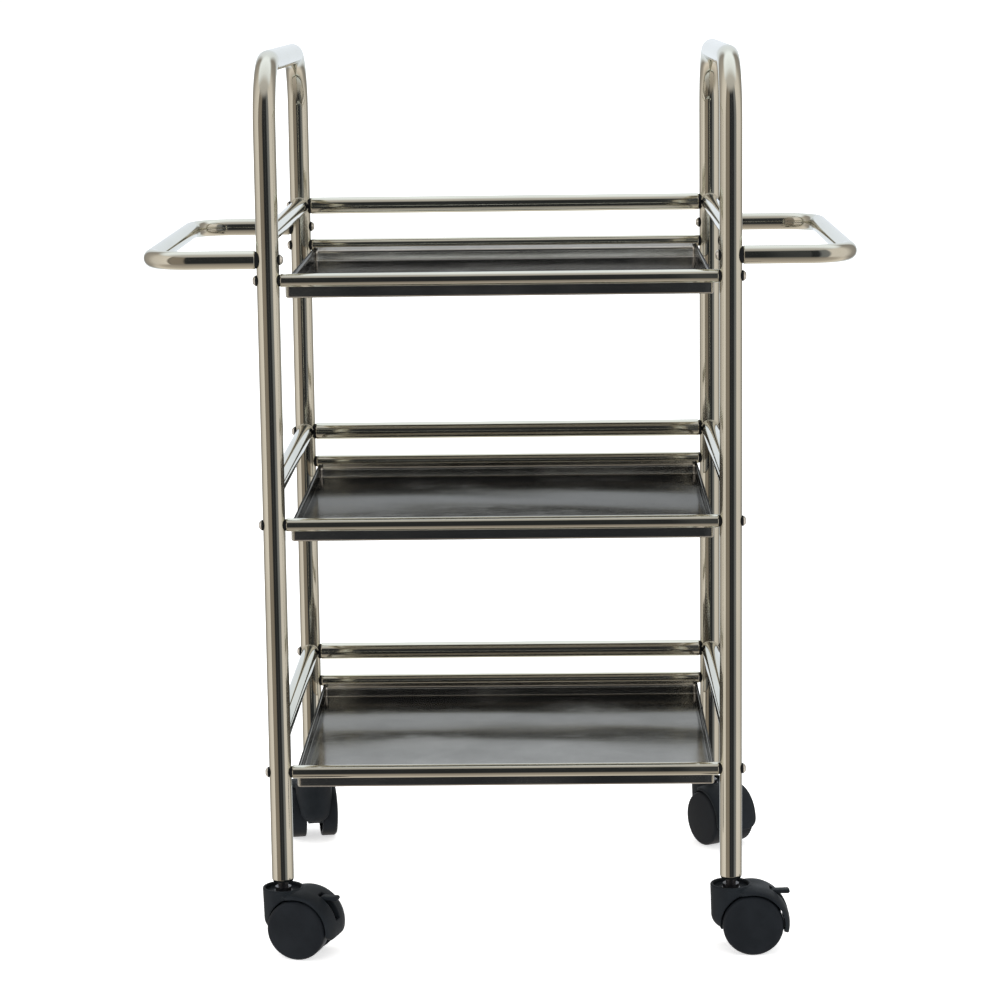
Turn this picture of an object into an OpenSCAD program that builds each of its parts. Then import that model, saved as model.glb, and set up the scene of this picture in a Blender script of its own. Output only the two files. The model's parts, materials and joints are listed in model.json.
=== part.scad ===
// Rolling salon trolley: two bent tube end frames, bolted cross rails, three sheet trays,
// two push handles and four twin-wheel swivel casters. Millimetres, +Z up, +X to the right,
// +Y to the rear. The origin is on the floor, midway between the four legs.

/* [Frame] */
// Distance between the left and right legs, centre to centre
leg_span_x = 445; // [400:5:520]
// Distance between the front and rear legs, centre to centre
leg_span_y = 400; // [340:5:460]
// Overall height
top_z = 890; // [860:5:940]
// Height of the open leg ends above the floor
leg_end_z = 73.5; // [72:0.5:78]
// Outer diameter of the leg tubes
leg_d = 22; // [20:1:25]
// Wall thickness of the leg tubes
leg_wall = 1.2; // [1:0.1:1.5]
// Centre-line radius of the two bends at the top of each end frame
top_bend_r = 62; // [45:1:80]

/* [Rails] */
// Height of the top guard rail
guard_top_z = 714; // [700:1:730]
// Spacing of the tiers
tier_pitch = 248; // [230:1:260]
// Height of the top guard rail above the top tray's rails
top_guard_rise = 42.5; // [38:0.5:60]
// Height of the two lower guard rails above their tray's rails
guard_rise = 33.5; // [30:0.5:50]
// Outer diameter of the guard and side rails
guard_d = 18; // [16:1:20]
// Outer diameter of the tray rails
tray_rail_d = 13; // [12:0.5:14]
// Wall thickness of the rails
rail_wall = 1; // [0.8:0.1:1.2]
// Thickness of a saddle washer on its centre line
saddle_t = 1; // [0.5:0.1:2]

/* [Trays] */
// Outer width of a tray
tray_w = 416; // [380:1:416]
// Sheet thickness
tray_t = 1; // [0.8:0.1:1.5]
// Depth of a tray's underside below the centre of its rails
tray_drop = 19; // [14:0.5:24]
// Outer radius of a tray's upright corners
tray_corner_r = 5; // [2:0.5:10]

/* [Handles] */
// Outer diameter of the handle tubes
handle_d = 18; // [16:1:20]
// Reach of the handle's centre line beyond the legs' centre line
handle_reach = 115.5; // [90:0.5:130]
// Height of the handles above the top tray's rails
handle_rise = 20; // [18:0.5:22]
// Centre-line radius of the handle's bends
handle_bend_r = 40; // [30:1:50]

/* [Casters] */
// Wheel diameter
wheel_d = 60; // [50:1:60]
// Width of one wheel
wheel_w = 19; // [15:0.5:19]
// Trail: distance from the swivel axis to the axle
trail = 21; // [20:0.5:24]
// Outer diameter of the caster's neck
neck_d = 41; // [40:0.5:44]
// Height of the neck's rim
neck_top_z = 67.5; // [67:0.5:68]
// Outer radius of the hood about the axle
hood_r = 37; // [35:0.5:38]
// Thickness of the web between the two wheels
web_w = 16.8; // [14:0.1:16.8]
// Trail direction of the front left caster, counter-clockwise from +X seen from above
front_left_angle = -16; // [-180:1:180]
// Trail direction of the front right caster
front_right_angle = 0; // [-180:1:180]
// Trail direction of the rear right caster
rear_right_angle = -60; // [-180:1:180]
// Trail direction of the rear left caster
rear_left_angle = 100; // [-180:1:180]

/* [Fastenings] */
// Screw shank diameter
screw_d = 6; // [5:0.5:6]
// Button head diameter
head_d = 10.5; // [10:0.5:12]
// Button head height
head_h = 3.3; // [3:0.1:4]
// Thickness of a screw's washer on its centre line
washer_t = 1; // [0.5:0.1:1.5]
// Depth of the threaded inserts in the rail and handle ends
insert_l = 16; // [12:1:20]
// Diameter of the caster stem
stem_d = 10; // [8:0.5:10]

/* [Hidden] */
$fn = 64;
steel = [0.78, 0.77, 0.73];
zinc = [0.66, 0.67, 0.69];
black = [0.15, 0.16, 0.18];
leg_x = leg_span_x / 2;
leg_y = leg_span_y / 2;
leg_r = leg_d / 2;
bend_z = top_z - leg_r - top_bend_r;
guard_z = [for (i = [0:2]) guard_top_z - i * tier_pitch];
rail_z = [for (i = [0:2]) guard_z[i] - (i == 0 ? top_guard_rise : guard_rise)];
handle_z = rail_z[0] + handle_rise;
handle_x = leg_x + handle_reach;
rail_half = leg_x - leg_r - saddle_t;
weld_gap = 0.05;
fit_gap = 0.02;
run_gap = 0.05;
hole_r = screw_d / 2 + 0.2;
shank_l = leg_d + washer_t + saddle_t + 14;
saddle_inset = 1.5;
head_x = -leg_r - washer_t - weld_gap;
tray_half_y = leg_y - tray_rail_d / 2 - 0.2;
tray_hem_drop = 1;
plug_z = leg_end_z + 1.5;
plug_l = 30;
wheel_r = wheel_d / 2;
well_r = wheel_r + 1.4;
web_half = web_w / 2;
wheel_in = web_half + 0.6;
wheel_out = wheel_in + wheel_w;
wheel_dome = 2;
hood_half = wheel_out - wheel_dome;
cup_floor_z = neck_top_z - 4.5;
collar_z = cup_floor_z + 0.6;
axle_r = 3;
axle_half = wheel_out - 4.5;
brake_x = trail + 12;
brake_z = wheel_r + 20;
brake_pin_r = 1.5;
lever_w = 10;
tab_r = 2.3;
tab_z = brake_z + 9.3;
tab_x0 = brake_x + 9;
tab_x1 = brake_x + 23;
tiers = ["top", "middle", "bottom"];
corners = ["front_left", "front_right", "rear_right", "rear_left"];
corner_x = [-leg_x, leg_x, leg_x, -leg_x];
corner_y = [-leg_y, -leg_y, leg_y, leg_y];
trail_angle = [front_left_angle, front_right_angle, rear_right_angle, rear_left_angle];

// Points of a circular arc, from angle a0 to angle a1
function arc(x, y, r, a0, a1, n = 8) =
    [for (i = [0:n]) let (a = a0 + (a1 - a0) * i / n) [x + r * cos(a), y + r * sin(a)]];

// Points of an elliptical arc with half axes rx and ry
function oval(x, y, rx, ry, a0, a1, n = 8) =
    [for (i = [0:n]) let (a = a0 + (a1 - a0) * i / n) [x + rx * cos(a), y + ry * sin(a)]];

module ring(d, wall) {
    difference() {
        circle(d = d);
        circle(d = d - 2 * wall);
    }
}

// Straight tube along +Z from the origin
module tube(d, wall, l) {
    linear_extrude(l) ring(d, wall);
}

// Quarter bend in the XY plane about the origin, from +X round to +Y
module bend(d, wall, r) {
    rotate_extrude(angle = 90) translate([r, 0]) ring(d, wall);
}

// Places its children at the left (-1) or right (+1) end, turned so that +X points outwards
module at_end(side) {
    mirror([side < 0 ? 1 : 0, 0, 0]) children();
}

// A hole through a leg along X, at the end's front (-1) or rear (+1) leg
module leg_hole(s, z) {
    translate([leg_x - leg_d, s * leg_y, z]) rotate([0, 90, 0]) cylinder(r = hole_r, h = 2 * leg_d);
}

module end_frame(side) {
    color(steel) at_end(side) difference() {
        union() {
            for (s = [-1, 1]) {
                translate([leg_x, s * leg_y, leg_end_z]) tube(leg_d, leg_wall, bend_z - leg_end_z);
                mirror([0, s < 0 ? 1 : 0, 0]) translate([leg_x, leg_y - top_bend_r, bend_z])
                    rotate([90, 0, 90]) bend(leg_d, leg_wall, top_bend_r);
            }
            translate([leg_x, top_bend_r - leg_y, top_z - leg_r])
                rotate([-90, 0, 0]) tube(leg_d, leg_wall, leg_span_y - 2 * top_bend_r);
        }
        for (s = [-1, 1], z = concat(rail_z, [handle_z])) leg_hole(s, z);
        for (z = guard_z) leg_hole(1, z);
    }
}

// Side rail, its ends coped to the legs that it is welded to
module side_rail(side, z) {
    color(steel) at_end(side) difference() {
        translate([leg_x, -leg_y, z]) rotate([-90, 0, 0]) tube(guard_d, rail_wall, leg_span_y);
        for (s = [-1, 1]) translate([leg_x, s * leg_y, z - guard_d])
            cylinder(r = leg_r + weld_gap, h = 2 * guard_d);
    }
}

// Cross rail between the left and right legs
module cross_rail(d, y, z) {
    color(steel) translate([-rail_half, y, z]) rotate([0, 90, 0]) tube(d, rail_wall, 2 * rail_half);
}

module rounded_rect(w, d, r) {
    square([w - 2 * r, d], center = true);
    square([w, d - 2 * r], center = true);
    for (x = [-1, 1], y = [-1, 1]) translate([x * (w / 2 - r), y * (d / 2 - r)]) circle(r = r);
}

// Sheet tray: flat floor and four upright walls, which reach nearly to the rails' centre
module tray(z) {
    wall_h = tray_drop - tray_hem_drop;
    color(steel) translate([0, 0, z - tray_drop]) difference() {
        linear_extrude(wall_h) rounded_rect(tray_w, 2 * tray_half_y, tray_corner_r);
        translate([0, 0, tray_t]) linear_extrude(wall_h)
            rounded_rect(tray_w - 2 * tray_t, 2 * (tray_half_y - tray_t), tray_corner_r - tray_t);
    }
}

// U-shaped push handle, its two ends square to the legs
module handle(side) {
    end_x = leg_x + leg_r + saddle_t;
    color(steel) at_end(side) for (s = [-1, 1]) mirror([0, s < 0 ? 1 : 0, 0]) {
        translate([end_x, leg_y, handle_z]) rotate([0, 90, 0])
            tube(handle_d, rail_wall, handle_x - handle_bend_r - end_x);
        translate([handle_x - handle_bend_r, leg_y - handle_bend_r, handle_z])
            bend(handle_d, rail_wall, handle_bend_r);
        translate([handle_x, 0, handle_z]) rotate([-90, 0, 0])
            tube(handle_d, rail_wall, leg_y - handle_bend_r);
    }
}

// Button head screw along +X: the head's underside is at the origin and the head points to -X
module screw() {
    dome_r = (pow(head_d / 2, 2) + pow(head_h, 2)) / (2 * head_h);
    socket_depth = 2;
    socket_flats = 4;
    rotate([0, 90, 0]) {
        cylinder(d = screw_d, h = shank_l);
        difference() {
            intersection() {
                translate([0, 0, dome_r - head_h]) sphere(r = dome_r);
                translate([0, 0, -head_h]) cylinder(d = head_d, h = head_h);
            }
            translate([0, 0, -head_h - 1]) cylinder(d = socket_flats / cos(30), h = socket_depth + 1, $fn = 6);
        }
    }
}

// Saddle washer at a leg's axis, on the leg's +X side: hollowed to the leg, flat on its far face
module saddle(d, t) {
    difference() {
        rotate([0, 90, 0]) cylinder(d = d, h = leg_r + t);
        translate([0, 0, -d]) cylinder(r = leg_r + weld_gap, h = 2 * d);
        rotate([0, 90, 0]) cylinder(r = hole_r, h = leg_d);
    }
}

// Saddle washer for a tube of diameter d
module tube_saddle(d) {
    saddle(d - saddle_inset, saddle_t);
}

// Saddle washer for a guard rail, its inner edges trimmed clear of the side rail's welded end
module guard_saddle() {
    difference() {
        tube_saddle(guard_d);
        rotate([90, 0, 0]) cylinder(r = guard_d / 2 + 0.15, h = 2 * guard_d, center = true);
    }
}

// Threaded insert along +X, its thread drawn as a plain bore
module insert(tube_d) {
    rotate([0, 90, 0]) difference() {
        cylinder(r = tube_d / 2 - rail_wall - fit_gap, h = insert_l);
        translate([0, 0, -1]) cylinder(r = screw_d / 2 + fit_gap, h = insert_l + 2);
    }
}

// Repeats its children at the ends of the cross rails: at a leg's axis, with +X towards the rail
module at_rails(rear_only, heights) {
    for (side = [0, 1], s = rear_only ? [1] : [-1, 1], z = heights)
        mirror([side, 0, 0]) translate([-leg_x, s * leg_y, z]) children();
}

// Repeats its children at the handle ends: at a leg's axis, with +X towards the handle
module at_handles() {
    for (side = [0, 1], s = [-1, 1]) mirror([side, 0, 0]) translate([leg_x, s * leg_y, handle_z]) children();
}

module rail_screws() {
    color(zinc) {
        at_rails(false, rail_z) translate([head_x, 0, 0]) screw();
        at_rails(true, guard_z) translate([head_x, 0, 0]) screw();
    }
}

module handle_screws() {
    color(zinc) at_handles() translate([head_x, 0, 0]) screw();
}

// Washers under all the screw heads, hollowed to the legs
module screw_washers() {
    color(black) {
        at_rails(false, rail_z) mirror([1, 0, 0]) saddle(head_d, washer_t);
        at_rails(true, guard_z) mirror([1, 0, 0]) saddle(head_d, washer_t);
        at_handles() mirror([1, 0, 0]) saddle(head_d, washer_t);
    }
}

module tray_rail_saddles() {
    color(black) at_rails(false, rail_z) tube_saddle(tray_rail_d);
}

module guard_rail_saddles() {
    color(black) at_rails(true, guard_z) guard_saddle();
}

module handle_saddles() {
    color(black) at_handles() tube_saddle(handle_d);
}

module tray_rail_inserts() {
    color(zinc) at_rails(false, rail_z) translate([leg_r + saddle_t, 0, 0]) insert(tray_rail_d);
}

module guard_rail_inserts() {
    color(zinc) at_rails(true, guard_z) translate([leg_r + saddle_t, 0, 0]) insert(guard_d);
}

module handle_inserts() {
    color(zinc) at_handles() translate([leg_r + saddle_t, 0, 0]) insert(handle_d);
}

// Places its children at a caster: swivel axis on Z, floor at 0, trail along +X
module at_caster(k) {
    translate([corner_x[k], corner_y[k], 0]) rotate(trail_angle[k]) children();
}

// Places its children at a caster's axle, with the axle on Z and the trail on X
module at_axle() {
    translate([trail, 0, wheel_r]) rotate([-90, 0, 0]) children();
}

// Plug pressed into a leg's end, which holds the caster stem
module leg_plugs() {
    color(black) for (k = [0:3]) at_caster(k) translate([0, 0, plug_z]) difference() {
        cylinder(r = leg_r - leg_wall - fit_gap, h = plug_l);
        translate([0, 0, -1]) cylinder(r = stem_d / 2 + fit_gap, h = plug_l + 2);
    }
}

// Caster stem: threaded above, collar in the neck's cup, bearing spigot with a groove below
module caster_stems() {
    spigot_z = wheel_r + 1;
    collar_h = 4;
    color(zinc) for (k = [0:3]) at_caster(k) difference() {
        union() {
            translate([0, 0, spigot_z]) cylinder(d = stem_d, h = plug_z + plug_l - 4 - spigot_z);
            translate([0, 0, collar_z]) cylinder(d = stem_d + 6, h = collar_h);
        }
        translate([0, 0, spigot_z + 5]) difference() {
            cylinder(d = stem_d + 2, h = 2);
            translate([0, 0, -1]) cylinder(d = stem_d - 2, h = 4);
        }
    }
}

module thrust_washers() {
    color(zinc) for (k = [0:3]) at_caster(k) translate([0, 0, cup_floor_z + run_gap]) difference() {
        cylinder(d = stem_d + 8, h = 0.5);
        translate([0, 0, -1]) cylinder(d = stem_d + 0.2, h = 3);
    }
}

module stem_snap_rings() {
    color(zinc) for (k = [0:3]) at_caster(k) translate([0, 0, wheel_r + 6.2]) difference() {
        cylinder(d = stem_d + 1.6, h = 1.6);
        translate([0, 0, -1]) cylinder(d = stem_d - 1.9, h = 4);
    }
}

// Sector of a large circle about the origin in the XY plane, as a cutting outline
module sector(r, a0, a1) {
    polygon(concat([[0, 0]], [for (i = [0:6]) let (a = a0 + (a1 - a0) * i / 6) [r * cos(a), r * sin(a)]]));
}

// Neck: a cup on top, a rounded bottom
module caster_neck() {
    bottom_z = 22;
    round_r = 14;
    neck_r = neck_d / 2;
    rim_r = 1.2;
    rotate_extrude() polygon(concat(
        [[0, bottom_z]],
        arc(neck_r - round_r, bottom_z + round_r, round_r, -90, 0),
        arc(neck_r - rim_r, neck_top_z - rim_r, rim_r, 0, 90, 4),
        [[neck_r - 3, neck_top_z], [neck_r - 3, cup_floor_z], [0, cup_floor_z]]
    ));
}

// Hood over both wheels, with rounded shoulders, and the web between the wheels
module caster_hood_and_web() {
    hood_start = -14;
    hood_end = 112;
    shoulder = 18;
    edge_r = well_r + 1.6;
    web_r = well_r + 1;
    boss_r = 10;
    // the axle frame has its Y axis pointing down, so angles are counted with the opposite sign
    at_axle() {
        intersection() {
            rotate_extrude() polygon(concat(
                oval(edge_r, hood_half - shoulder, hood_r - edge_r, shoulder, 0, 90),
                [[well_r, hood_half], [well_r, -hood_half]],
                oval(edge_r, shoulder - hood_half, hood_r - edge_r, shoulder, -90, 0)
            ));
            translate([0, 0, -hood_half - 1]) linear_extrude(2 * hood_half + 2)
                sector(2 * hood_r, -hood_end, -hood_start);
        }
        translate([0, 0, -web_half]) linear_extrude(web_w) {
            circle(r = boss_r);
            intersection() {
                circle(r = web_r);
                sector(2 * hood_r, -195, -35);
            }
        }
    }
}

module caster_housing(k, braked) {
    pocket_half = lever_w / 2 + 0.6;
    color(black) at_caster(k) difference() {
        union() {
            caster_neck();
            difference() {
                caster_hood_and_web();
                translate([0, 0, cup_floor_z]) cylinder(d = neck_d - 6, h = neck_d);
            }
        }
        for (s = [-1, 1]) mirror([0, s < 0 ? 1 : 0, 0])
            translate([trail, web_half, wheel_r]) rotate([-90, 0, 0]) cylinder(r = well_r, h = neck_d);
        translate([0, 0, wheel_r]) cylinder(r = stem_d / 2 + run_gap, h = neck_d);
        translate([0, 0, wheel_r + 5]) cylinder(d = stem_d + 2.6, h = 4);
        at_axle() translate([0, 0, -neck_d]) cylinder(r = axle_r + fit_gap, h = 2 * neck_d);
        if (braked) {
            at_axle() translate([0, 0, -pocket_half]) linear_extrude(2 * pocket_half) difference() {
                sector(2 * hood_r, -62, -12);
                circle(r = wheel_r - 16);
            }
            at_axle() translate([0, 0, -pocket_half]) linear_extrude(2 * pocket_half) difference() {
                intersection() {
                    circle(r = well_r);
                    sector(2 * hood_r, -80, -12);
                }
                circle(r = wheel_r - 16);
            }
            translate([brake_x, -neck_d, brake_z]) rotate([-90, 0, 0])
                cylinder(r = brake_pin_r + fit_gap, h = 2 * neck_d);
        }
    }
}

module caster_axle(k) {
    color(zinc) at_caster(k) at_axle() translate([0, 0, -axle_half]) cylinder(r = axle_r, h = 2 * axle_half);
}

// Wheel on the trail's left (+1) or right (-1) side: domed outside, hollow and open inside
module caster_wheel(k, s) {
    hub_r = 8;
    tread_t = 4.5;
    face_t = 5;
    edge_r = 4;
    dome_r = wheel_r - edge_r;
    color(black) at_caster(k) mirror([0, s < 0 ? 1 : 0, 0]) at_axle() rotate_extrude() polygon(concat(
        [[axle_r + run_gap, wheel_in], [hub_r, wheel_in], [hub_r, wheel_out - face_t]],
        [[wheel_r - tread_t, wheel_out - face_t], [wheel_r - tread_t, wheel_in], [wheel_r - 1, wheel_in]],
        [[wheel_r, wheel_in + 1]],
        arc(dome_r, wheel_out - wheel_dome - edge_r, edge_r, 0, 90),
        [for (i = [1:6]) let (q = 1 - i / 6) [q * dome_r, wheel_out - wheel_dome * q * q]],
        [[0, axle_half + 0.4], [axle_r + run_gap, axle_half + 0.4]]
    ));
}

// Toe lever of the brake: hub on its pin, arm, and flat tab that passes out through the hood
module brake_lever(k) {
    hub_r = 4.2;
    color(black) at_caster(k) rotate([90, 0, 0]) translate([0, 0, -lever_w / 2]) linear_extrude(lever_w)
        difference() {
            union() {
                translate([brake_x, brake_z]) circle(r = hub_r);
                polygon([
                    [brake_x + 3, brake_z - 2.9], [tab_x0 + 1, tab_z - tab_r],
                    [tab_x0 - 1, tab_z + tab_r - 0.8], [brake_x - 2.9, brake_z + 3]
                ]);
                translate([tab_x0, tab_z]) circle(r = tab_r);
                translate([tab_x0, tab_z - tab_r]) square([tab_x1 - tab_x0, 2 * tab_r]);
                translate([tab_x1, tab_z]) circle(r = tab_r);
            }
            translate([brake_x, brake_z]) circle(r = brake_pin_r + run_gap);
        }
}

module brake_pin(k) {
    color(zinc) at_caster(k) translate([brake_x, -web_half, brake_z]) rotate([-90, 0, 0])
        cylinder(r = brake_pin_r, h = web_w);
}

end_frame(-1);  // left_end_frame
end_frame(1);  // right_end_frame
for (i = [0:2]) {
    side_rail(-1, guard_z[i]);
    side_rail(1, guard_z[i]);
    cross_rail(tray_rail_d, -leg_y, rail_z[i]);
    cross_rail(tray_rail_d, leg_y, rail_z[i]);
    cross_rail(guard_d, leg_y, guard_z[i]);
    tray(rail_z[i]);
}
handle(-1);  // left_handle
handle(1);  // right_handle
rail_screws();
handle_screws();
screw_washers();
tray_rail_saddles();
guard_rail_saddles();
handle_saddles();
tray_rail_inserts();
guard_rail_inserts();
handle_inserts();
leg_plugs();
caster_stems();
thrust_washers();
stem_snap_rings();
for (k = [0:3]) {
    caster_housing(k, k < 2);
    caster_axle(k);
    caster_wheel(k, 1);
    caster_wheel(k, -1);
}
for (k = [0:1]) {
    brake_lever(k);
    brake_pin(k);
}
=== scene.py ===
"""Rolling salon trolley: the looks of its tubes, trays, screws and casters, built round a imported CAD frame.

Everything is in metres, +Z up, +X to the right, +Y to the rear, with the origin on the floor midway
between the legs. Places and outer sizes are read from the frame; the settings below hold the rest.
"""

import json
import math

import bmesh
import bpy
import numpy as np
from mathutils import Matrix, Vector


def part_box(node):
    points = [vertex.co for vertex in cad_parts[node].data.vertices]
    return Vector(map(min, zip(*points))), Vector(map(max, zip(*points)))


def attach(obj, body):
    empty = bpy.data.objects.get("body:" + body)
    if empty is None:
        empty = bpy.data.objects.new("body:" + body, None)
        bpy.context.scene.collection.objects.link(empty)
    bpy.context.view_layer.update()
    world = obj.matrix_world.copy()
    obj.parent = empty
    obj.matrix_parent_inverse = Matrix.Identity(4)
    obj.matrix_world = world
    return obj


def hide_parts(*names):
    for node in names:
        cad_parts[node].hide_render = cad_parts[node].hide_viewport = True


bl_info = {
    "name": "Rolling Salon Trolley",
    "version": (1, 0, 0),
    "blender": (4, 5, 0),
    "location": "View3D > Sidebar > Trolley",
    "description": "Builds a three-tier trolley of polished tube and sheet on twin-wheel casters",
    "category": "Add Mesh",
}

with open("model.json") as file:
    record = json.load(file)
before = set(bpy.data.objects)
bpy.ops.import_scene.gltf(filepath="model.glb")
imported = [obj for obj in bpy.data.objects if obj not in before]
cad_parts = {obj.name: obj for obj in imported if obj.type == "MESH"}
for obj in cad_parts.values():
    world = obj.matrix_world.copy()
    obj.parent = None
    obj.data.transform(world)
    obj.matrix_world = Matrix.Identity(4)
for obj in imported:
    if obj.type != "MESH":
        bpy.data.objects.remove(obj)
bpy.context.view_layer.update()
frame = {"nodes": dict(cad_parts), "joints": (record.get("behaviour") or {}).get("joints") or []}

MM = 0.001
WELD_GAP = 0.05 * MM
COOLNESS = 0.09
SCREW_HEAD = 5.25 * MM
BRAKE_PIN = (12 * MM, 20 * MM)
SIDES = {"left": -1, "right": 1}
TIERS = ("top", "middle", "bottom")
CORNERS = ("front_left", "front_right", "rear_right", "rear_left")
BRAKED = ("front_left", "front_right")
X, Y, Z = np.eye(3)


# ---------------------------------------------------------------- settings


def length(name, description, millimetres):
    """A length setting, given in millimetres and kept in metres."""
    return bpy.props.FloatProperty(
        name=name, description=description, default=millimetres * MM, min=0.0,
        subtype="DISTANCE", unit="LENGTH", precision=5,
    )


def colour(name, description, red, green, blue):
    """A linear colour setting."""
    return bpy.props.FloatVectorProperty(
        name=name, description=description, default=(red, green, blue), size=3,
        min=0.0, max=1.0, subtype="COLOR",
    )


def factor(name, description, value):
    """A setting from 0 to 1."""
    return bpy.props.FloatProperty(
        name=name, description=description, default=value, min=0.0, max=1.0, subtype="FACTOR",
    )


class TrolleySizes(bpy.types.PropertyGroup):
    """Sizes that the frame's boxes don't give"""

    leg_wall: length("Leg wall", "Wall thickness of the end frames' tube", 1.2)
    top_bend: length("Top bend radius", "Centre-line radius of the end frames' bends", 62)
    leg_roll: length("Leg end roll", "How far a leg's open end is rolled in", 0.9)
    rail_wall: length("Rail wall", "Wall thickness of the rails and handles", 1)
    handle_bend: length("Handle bend radius", "Centre-line radius of the handles' bends", 40)
    weld_bead: length("Weld bead radius", "Radius of the bead where a side rail meets a leg", 1.1)
    tray_sheet: length("Tray sheet", "Thickness of the tray sheet", 1)
    tray_crown: length("Tray crown", "Rise of a tray's floor at its middle", 2.4)
    tray_wave: length("Tray wave", "Height of the sheet's slight waves", 0.16)
    tray_fold: length("Tray fold radius", "Inner radius of the fold from floor to wall", 2)
    tray_corner: length("Tray corner radius", "Outer radius of a tray's upright corners", 5)
    tray_hem: length("Tray hem", "Depth of the hem folded in along the walls' top edge", 1.2)
    washer: length("Screw washer", "Thickness of the washers under the screw heads", 1)
    socket: length("Screw socket", "Size across the flats of the screws' hex socket", 4)
    web: length("Caster web", "Thickness of the housing's web between the wheels", 16.8)
    wheel_gap: length("Wheel gap", "Gap between a wheel's tread and its hood", 1.4)
    hood_rise: length("Hood rise", "How far the hood's middle stands out from its side edges", 4)
    hood_shoulder: length("Hood shoulder", "Width of the hood's rounded shoulders", 18)
    wheel_edge: length("Wheel edge radius", "Radius of a wheel's outer edge", 4)
    wheel_dome: length("Wheel dome", "How far the middle of a wheel's face stands out from its edge", 2)


class TrolleyColours(bpy.types.PropertyGroup):
    """Colours and finishes"""

    tube: colour("Tube", "Polished stainless tube", 0.75, 0.74, 0.65)
    tray: colour("Tray", "Polished stainless sheet", 0.72, 0.71, 0.68)
    screw: colour("Screw", "Polished screw heads", 0.82, 0.81, 0.77)
    zinc: colour("Zinc", "Zinc plated steel inside the casters and tubes", 0.13, 0.13, 0.14)
    saddle: colour("Saddle", "Plastic of the saddle washers and leg plugs", 0.008, 0.009, 0.010)
    caster: colour("Caster", "Plastic of the caster housings and levers", 0.0125, 0.0158, 0.0195)
    wheel: colour("Wheel", "Plastic of the wheels", 0.0115, 0.0140, 0.0175)
    floor: colour("Floor", "Studio floor", 0.95, 0.95, 0.95)
    tube_roughness: factor("Tube roughness", "Roughness of the polished tube", 0.07)
    tray_roughness: factor("Tray roughness", "Roughness of the tray sheet", 0.11)
    plastic_roughness: factor("Plastic roughness", "Roughness of the grained plastic", 0.52)


# ---------------------------------------------------------------- surfaces


def patch(points, rows_at, columns_at):
    """One surface on a grid: its points, its quads and each quad corner's place on the surface.

    rows_at and columns_at are the grid lines' distances along the surface. A direction that
    closes on itself has one more distance than it has lines of points.
    """
    rows, columns = points.shape[:2]
    r, c = np.meshgrid(np.arange(len(rows_at) - 1), np.arange(len(columns_at) - 1), indexing="ij")
    r = np.stack([r, r, r + 1, r + 1], -1)
    c = np.stack([c, c + 1, c + 1, c], -1)
    quads = (r % rows) * columns + c % columns
    places = np.stack([np.asarray(rows_at)[r], np.asarray(columns_at)[c]], -1)
    return points.reshape(-1, 3), quads.reshape(-1, 4), places.reshape(-1, 2)


def moved(surface, axes, origin):
    """The same patch with its own X, Y and Z along the rows of axes, about a new origin."""
    points, quads, places = surface
    return points @ np.asarray(axes) + origin, quads, places


def arc(centre, radius, start, end, steps):
    """Points of a circular arc: centre + radius (cos a, sin a), angles in degrees."""
    a = np.radians(np.linspace(start, end, steps + 1))
    return np.array(centre) + np.stack([radius * np.cos(a), radius * np.sin(a)], -1)


def run_length(outline):
    """Distance along a polyline to each of its points."""
    steps = np.linalg.norm(np.diff(outline, axis=0), axis=1)
    return np.concatenate([[0], np.cumsum(steps)])


def bent_path(lengths, turns, heading, s):
    """Points and headings of a plane path of straights and arcs, at distances s along it.

    A piece of curvature k, entered at heading h and followed for a distance t, moves the
    point by a chord of length t sinc(k t / 2) in direction h + k t / 2. t is s less the
    piece's start, held between 0 and the piece's length.
    """
    lengths, turns = np.array(lengths, float), np.array(turns, float)
    entered = heading + np.cumsum(turns) - turns
    t = np.clip(s[:, None] - (np.cumsum(lengths) - lengths), 0, lengths)
    half = t * (turns / lengths) / 2
    chord = t * np.sinc(half / math.pi)
    point = np.stack([(chord * np.cos(entered + half)).sum(1), (chord * np.sin(entered + half)).sum(1)], -1)
    return point, heading + 2 * half.sum(1)


def stations(lengths, turns):
    """Distances along a bent path: every 2.5 degrees in its arcs and about every 60 mm elsewhere."""
    starts = np.cumsum(lengths) - lengths
    steps = np.maximum(np.ceil(np.abs(turns) / math.radians(2.5)), np.ceil(np.array(lengths) / 0.06))
    pieces = [s + l * np.arange(n) / n for s, l, n in zip(starts, lengths, steps)]
    return np.concatenate(pieces)


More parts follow.
